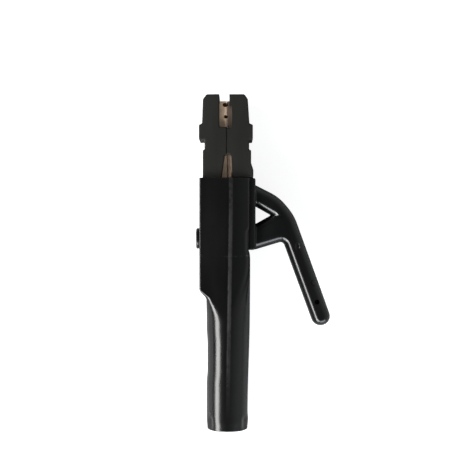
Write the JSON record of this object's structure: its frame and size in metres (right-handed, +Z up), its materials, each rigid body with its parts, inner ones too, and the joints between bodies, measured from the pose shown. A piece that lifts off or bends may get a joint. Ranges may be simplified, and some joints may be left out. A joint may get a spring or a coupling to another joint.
{
  "type": "welding electrode holder",
  "caption": "Fully insulated tongs-type welding electrode holder: spring-closed copper alloy jaws, squeeze lever and a hollow round grip for the cable.",
  "frame": {"origin": "on the flat side face the holder rests on, where the jaws' hinge axis meets it", "axes": "+Y along the grip towards the jaw tips, +X towards the lever, +Z up from the resting side along the hinge axis"},
  "size_m": [0.0956, 0.2379, 0.032],
  "materials": {
    "housing_plastic": "satin black moulded plastic",
    "insulator_moulding": "matt dark grey-green glass-filled moulding",
    "copper_alloy": "cast copper alloy, dull",
    "dark_screw_steel": "blackened",
    "plain_steel": "zinc plated"
  },
  "bodies": {
    "body": {"housing": "housing_plastic", "fixed_jaw": "copper_alloy", "fixed_jaw_insulator": "insulator_moulding", "fixed_insulator_screw_upper": "dark_screw_steel", "fixed_insulator_screw_lower": "dark_screw_steel", "pivot_pin": "plain_steel", "pivot_clip_front": "dark_screw_steel", "pivot_clip_back": "dark_screw_steel", "pressure_spring": "plain_steel", "spring_bolt": "plain_steel", "bolt_cap": "housing_plastic", "cable_sleeve": "copper_alloy", "clamp_plate": "plain_steel", "clamp_screw_upper": "dark_screw_steel", "clamp_screw_lower": "dark_screw_steel"},
    "lever_jaw": {"moving_jaw": "copper_alloy", "moving_jaw_insulator": "insulator_moulding", "moving_insulator_screw_upper": "dark_screw_steel", "moving_insulator_screw_lower": "dark_screw_steel", "lever": "housing_plastic", "lever_pin_upper": "plain_steel", "lever_pin_lower": "plain_steel", "pivot_bush": "plain_steel"}
  },
  "joints": [
    {"name": "jaw_pivot", "type": "hinge", "parent": "body", "child": "lever_jaw", "pos_m": [0, 0, 0.016], "axis": [0, 0, -1], "range_deg": [0, 20], "stiffness_Nm_per_rad": 4, "springref_deg": -22.92, "deforming": ["pressure_spring"]}
  ]
}
